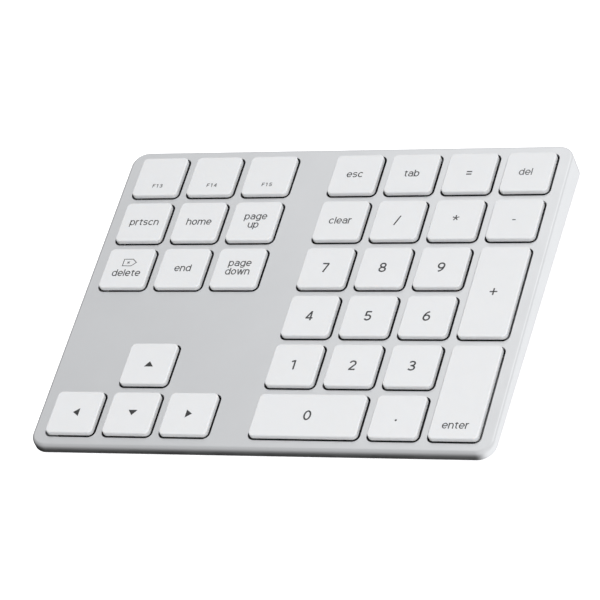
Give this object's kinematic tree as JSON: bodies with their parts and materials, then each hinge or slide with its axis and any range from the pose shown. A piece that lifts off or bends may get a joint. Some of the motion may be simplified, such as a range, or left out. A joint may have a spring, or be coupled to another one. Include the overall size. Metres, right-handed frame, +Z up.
{
  "type": "numeric keypad",
  "caption": "Slim wedge-shaped wireless numeric keypad: low square keys in two blocks, set in a flat silver aluminium case that leans forward on four rubber feet.",
  "frame": {"origin": "middle of the bounding box's footprint, on the table that the feet stand on", "axes": "+X to the user's right along the key rows, +Y away from the user, +Z up; the deck leans forward by 2.44 degrees"},
  "size_m": [0.1498, 0.1192, 0.0112],
  "materials": {
    "aluminium_case": "fine bead-blasted and clear anodised, silver",
    "keycap": "satin white moulded plastic with printed grey legends",
    "base_plastic": "fine spark-textured light grey plastic",
    "plate_steel": "bright plated sheet steel",
    "membrane_film": "dark printed polyester film",
    "dome_rubber": "translucent grey silicone rubber",
    "circuit_board": "green solder mask on glass fibre board",
    "socket_steel": "nickel-plated drawn steel",
    "light_pipe": "clear acrylic light guide",
    "black_plastic": "black glass-filled plastic",
    "grey_plastic": "satin light grey plastic",
    "ribbon_film": "amber polyimide film",
    "battery_foil": "silver laminated pouch",
    "foam": "black adhesive foam",
    "foot_rubber": "matt grey rubber",
    "screw_steel": "plain steel, fine machined",
    "bar_steel": "drawn spring steel wire"
  },
  "bodies": {
    "housing": {"top_case": "aluminium_case", "base_cover": "base_plastic", "support_plate": "plate_steel", "membrane_sheet": "membrane_film", "dome_sheet": "dome_rubber", "controller_board": "circuit_board", "usb_c_port": "socket_steel", "led_light_pipe": "light_pipe", "power_switch_housing": "black_plastic", "pairing_switch": "black_plastic", "ribbon_cable": "ribbon_film", "battery_cell": "battery_foil", "battery_foam_pad": "foam", "foot_front_left": "foot_rubber", "foot_front_right": "foot_rubber", "foot_rear_left": "foot_rubber", "foot_rear_right": "foot_rubber", "screw_front_left": "screw_steel", "screw_front_right": "screw_steel", "screw_rear_left": "screw_steel", "screw_rear_right": "screw_steel"},
    "key_arrow_left": {"key_arrow_left": "keycap"},
    "key_arrow_down": {"key_arrow_down": "keycap"},
    "key_arrow_right": {"key_arrow_right": "keycap"},
    "key_0": {"key_0": "keycap"},
    "key_decimal": {"key_decimal": "keycap"},
    "key_enter": {"key_enter": "keycap"},
    "key_arrow_up": {"key_arrow_up": "keycap"},
    "key_1": {"key_1": "keycap"},
    "key_2": {"key_2": "keycap"},
    "key_3": {"key_3": "keycap"},
    "key_4": {"key_4": "keycap"},
    "key_5": {"key_5": "keycap"},
    "key_6": {"key_6": "keycap"},
    "key_plus": {"key_plus": "keycap"},
    "key_forward_delete": {"key_forward_delete": "keycap"},
    "key_end": {"key_end": "keycap"},
    "key_page_down": {"key_page_down": "keycap"},
    "key_7": {"key_7": "keycap"},
    "key_8": {"key_8": "keycap"},
    "key_9": {"key_9": "keycap"},
    "key_print_screen": {"key_print_screen": "keycap"},
    "key_home": {"key_home": "keycap"},
    "key_page_up": {"key_page_up": "keycap"},
    "key_clear": {"key_clear": "keycap"},
    "key_divide": {"key_divide": "keycap"},
    "key_multiply": {"key_multiply": "keycap"},
    "key_minus": {"key_minus": "keycap"},
    "key_f13": {"key_f13": "keycap"},
    "key_f14": {"key_f14": "keycap"},
    "key_f15": {"key_f15": "keycap"},
    "key_escape": {"key_escape": "keycap"},
    "key_tab": {"key_tab": "keycap"},
    "key_equals": {"key_equals": "keycap"},
    "key_delete": {"key_delete": "keycap"},
    "stabiliser_0": {"stabiliser_0": "bar_steel"},
    "stabiliser_enter": {"stabiliser_enter": "bar_steel"},
    "stabiliser_plus": {"stabiliser_plus": "bar_steel"},
    "power_switch_slider": {"power_switch_slider": "grey_plastic"},
    "pairing_button": {"pairing_button": "grey_plastic"}
  },
  "joints": [
    {"name": "key_arrow_left_press", "type": "slide", "parent": "housing", "child": "key_arrow_left", "axis": [0, 0.0426, -0.9991], "range_m": [0, 0.0015], "stiffness_N_per_m": 300, "springref_m": -0.0003, "deforming": ["dome_sheet"]},
    {"name": "key_arrow_down_press", "type": "slide", "parent": "housing", "child": "key_arrow_down", "axis": [0, 0.0426, -0.9991], "range_m": [0, 0.0015], "stiffness_N_per_m": 300, "springref_m": -0.0003, "deforming": ["dome_sheet"]},
    {"name": "key_arrow_right_press", "type": "slide", "parent": "housing", "child": "key_arrow_right", "axis": [0, 0.0426, -0.9991], "range_m": [0, 0.0015], "stiffness_N_per_m": 300, "springref_m": -0.0003, "deforming": ["dome_sheet"]},
    {"name": "key_0_press", "type": "slide", "parent": "housing", "child": "key_0", "axis": [0, 0.0426, -0.9991], "range_m": [0, 0.0015], "stiffness_N_per_m": 300, "springref_m": -0.0003, "deforming": ["dome_sheet"]},
    {"name": "key_decimal_press", "type": "slide", "parent": "housing", "child": "key_decimal", "axis": [0, 0.0426, -0.9991], "range_m": [0, 0.0015], "stiffness_N_per_m": 300, "springref_m": -0.0003, "deforming": ["dome_sheet"]},
    {"name": "key_enter_press", "type": "slide", "parent": "housing", "child": "key_enter", "axis": [0, 0.0426, -0.9991], "range_m": [0, 0.0015], "stiffness_N_per_m": 300, "springref_m": -0.0003, "deforming": ["dome_sheet"]},
    {"name": "key_arrow_up_press", "type": "slide", "parent": "housing", "child": "key_arrow_up", "axis": [0, 0.0426, -0.9991], "range_m": [0, 0.0015], "stiffness_N_per_m": 300, "springref_m": -0.0003, "deforming": ["dome_sheet"]},
    {"name": "key_1_press", "type": "slide", "parent": "housing", "child": "key_1", "axis": [0, 0.0426, -0.9991], "range_m": [0, 0.0015], "stiffness_N_per_m": 300, "springref_m": -0.0003, "deforming": ["dome_sheet"]},
    {"name": "key_2_press", "type": "slide", "parent": "housing", "child": "key_2", "axis": [0, 0.0426, -0.9991], "range_m": [0, 0.0015], "stiffness_N_per_m": 300, "springref_m": -0.0003, "deforming": ["dome_sheet"]},
    {"name": "key_3_press", "type": "slide", "parent": "housing", "child": "key_3", "axis": [0, 0.0426, -0.9991], "range_m": [0, 0.0015], "stiffness_N_per_m": 300, "springref_m": -0.0003, "deforming": ["dome_sheet"]},
    {"name": "key_4_press", "type": "slide", "parent": "housing", "child": "key_4", "axis": [0, 0.0426, -0.9991], "range_m": [0, 0.0015], "stiffness_N_per_m": 300, "springref_m": -0.0003, "deforming": ["dome_sheet"]},
    {"name": "key_5_press", "type": "slide", "parent": "housing", "child": "key_5", "axis": [0, 0.0426, -0.9991], "range_m": [0, 0.0015], "stiffness_N_per_m": 300, "springref_m": -0.0003, "deforming": ["dome_sheet"]},
    {"name": "key_6_press", "type": "slide", "parent": "housing", "child": "key_6", "axis": [0, 0.0426, -0.9991], "range_m": [0, 0.0015], "stiffness_N_per_m": 300, "springref_m": -0.0003, "deforming": ["dome_sheet"]},
    {"name": "key_plus_press", "type": "slide", "parent": "housing", "child": "key_plus", "axis": [0, 0.0426, -0.9991], "range_m": [0, 0.0015], "stiffness_N_per_m": 300, "springref_m": -0.0003, "deforming": ["dome_sheet"]},
    {"name": "key_forward_delete_press", "type": "slide", "parent": "housing", "child": "key_forward_delete", "axis": [0, 0.0426, -0.9991], "range_m": [0, 0.0015], "stiffness_N_per_m": 300, "springref_m": -0.0003, "deforming": ["dome_sheet"]},
    {"name": "key_end_press", "type": "slide", "parent": "housing", "child": "key_end", "axis": [0, 0.0426, -0.9991], "range_m": [0, 0.0015], "stiffness_N_per_m": 300, "springref_m": -0.0003, "deforming": ["dome_sheet"]},
    {"name": "key_page_down_press", "type": "slide", "parent": "housing", "child": "key_page_down", "axis": [0, 0.0426, -0.9991], "range_m": [0, 0.0015], "stiffness_N_per_m": 300, "springref_m": -0.0003, "deforming": ["dome_sheet"]},
    {"name": "key_7_press", "type": "slide", "parent": "housing", "child": "key_7", "axis": [0, 0.0426, -0.9991], "range_m": [0, 0.0015], "stiffness_N_per_m": 300, "springref_m": -0.0003, "deforming": ["dome_sheet"]},
    {"name": "key_8_press", "type": "slide", "parent": "housing", "child": "key_8", "axis": [0, 0.0426, -0.9991], "range_m": [0, 0.0015], "stiffness_N_per_m": 300, "springref_m": -0.0003, "deforming": ["dome_sheet"]},
    {"name": "key_9_press", "type": "slide", "parent": "housing", "child": "key_9", "axis": [0, 0.0426, -0.9991], "range_m": [0, 0.0015], "stiffness_N_per_m": 300, "springref_m": -0.0003, "deforming": ["dome_sheet"]},
    {"name": "key_print_screen_press", "type": "slide", "parent": "housing", "child": "key_print_screen", "axis": [0, 0.0426, -0.9991], "range_m": [0, 0.0015], "stiffness_N_per_m": 300, "springref_m": -0.0003, "deforming": ["dome_sheet"]},
    {"name": "key_home_press", "type": "slide", "parent": "housing", "child": "key_home", "axis": [0, 0.0426, -0.9991], "range_m": [0, 0.0015], "stiffness_N_per_m": 300, "springref_m": -0.0003, "deforming": ["dome_sheet"]},
    {"name": "key_page_up_press", "type": "slide", "parent": "housing", "child": "key_page_up", "axis": [0, 0.0426, -0.9991], "range_m": [0, 0.0015], "stiffness_N_per_m": 300, "springref_m": -0.0003, "deforming": ["dome_sheet"]},
    {"name": "key_clear_press", "type": "slide", "parent": "housing", "child": "key_clear", "axis": [0, 0.0426, -0.9991], "range_m": [0, 0.0015], "stiffness_N_per_m": 300, "springref_m": -0.0003, "deforming": ["dome_sheet"]},
    {"name": "key_divide_press", "type": "slide", "parent": "housing", "child": "key_divide", "axis": [0, 0.0426, -0.9991], "range_m": [0, 0.0015], "stiffness_N_per_m": 300, "springref_m": -0.0003, "deforming": ["dome_sheet"]},
    {"name": "key_multiply_press", "type": "slide", "parent": "housing", "child": "key_multiply", "axis": [0, 0.0426, -0.9991], "range_m": [0, 0.0015], "stiffness_N_per_m": 300, "springref_m": -0.0003, "deforming": ["dome_sheet"]},
    {"name": "key_minus_press", "type": "slide", "parent": "housing", "child": "key_minus", "axis": [0, 0.0426, -0.9991], "range_m": [0, 0.0015], "stiffness_N_per_m": 300, "springref_m": -0.0003, "deforming": ["dome_sheet"]},
    {"name": "key_f13_press", "type": "slide", "parent": "housing", "child": "key_f13", "axis": [0, 0.0426, -0.9991], "range_m": [0, 0.0015], "stiffness_N_per_m": 300, "springref_m": -0.0003, "deforming": ["dome_sheet"]},
    {"name": "key_f14_press", "type": "slide", "parent": "housing", "child": "key_f14", "axis": [0, 0.0426, -0.9991], "range_m": [0, 0.0015], "stiffness_N_per_m": 300, "springref_m": -0.0003, "deforming": ["dome_sheet"]},
    {"name": "key_f15_press", "type": "slide", "parent": "housing", "child": "key_f15", "axis": [0, 0.0426, -0.9991], "range_m": [0, 0.0015], "stiffness_N_per_m": 300, "springref_m": -0.0003, "deforming": ["dome_sheet"]},
    {"name": "key_escape_press", "type": "slide", "parent": "housing", "child": "key_escape", "axis": [0, 0.0426, -0.9991], "range_m": [0, 0.0015], "stiffness_N_per_m": 300, "springref_m": -0.0003, "deforming": ["dome_sheet"]},
    {"name": "key_tab_press", "type": "slide", "parent": "housing", "child": "key_tab", "axis": [0, 0.0426, -0.9991], "range_m": [0, 0.0015], "stiffness_N_per_m": 300, "springref_m": -0.0003, "deforming": ["dome_sheet"]},
    {"name": "key_equals_press", "type": "slide", "parent": "housing", "child": "key_equals", "axis": [0, 0.0426, -0.9991], "range_m": [0, 0.0015], "stiffness_N_per_m": 300, "springref_m": -0.0003, "deforming": ["dome_sheet"]},
    {"name": "key_delete_press", "type": "slide", "parent": "housing", "child": "key_delete", "axis": [0, 0.0426, -0.9991], "range_m": [0, 0.0015], "stiffness_N_per_m": 300, "springref_m": -0.0003, "deforming": ["dome_sheet"]},
    {"name": "stabiliser_0_tilt", "type": "hinge", "parent": "housing", "child": "stabiliser_0", "pos_m": [0.01467, -0.0475, 0.00357], "axis": [1, 0, 0], "range_deg": [-18, 0]},
    {"name": "stabiliser_enter_tilt", "type": "hinge", "parent": "housing", "child": "stabiliser_enter", "pos_m": [0.062, -0.03784, 0.00398], "axis": [0, 0.9991, 0.0426], "range_deg": [0, 18]},
    {"name": "stabiliser_plus_tilt", "type": "hinge", "parent": "housing", "child": "stabiliser_plus", "pos_m": [0.062, 0.00013, 0.0056], "axis": [0, 0.9991, 0.0426], "range_deg": [0, 18]},
    {"name": "power_switch_slide", "type": "slide", "parent": "housing", "child": "power_switch_slider", "axis": [1, 0, 0], "range_m": [0, 0.002]},
    {"name": "pairing_button_press", "type": "slide", "parent": "housing", "child": "pairing_button", "axis": [0, -0.9991, -0.0426], "range_m": [0, 0.0004], "stiffness_N_per_m": 200, "springref_m": -0.0001}
  ],
  "couplings": [
    {"joint": "stabiliser_0_tilt", "follows": "key_0_press", "rad_per_m": -203.13},
    {"joint": "stabiliser_enter_tilt", "follows": "key_enter_press", "rad_per_m": 203.13},
    {"joint": "stabiliser_plus_tilt", "follows": "key_plus_press", "rad_per_m": 203.13}
  ]
}
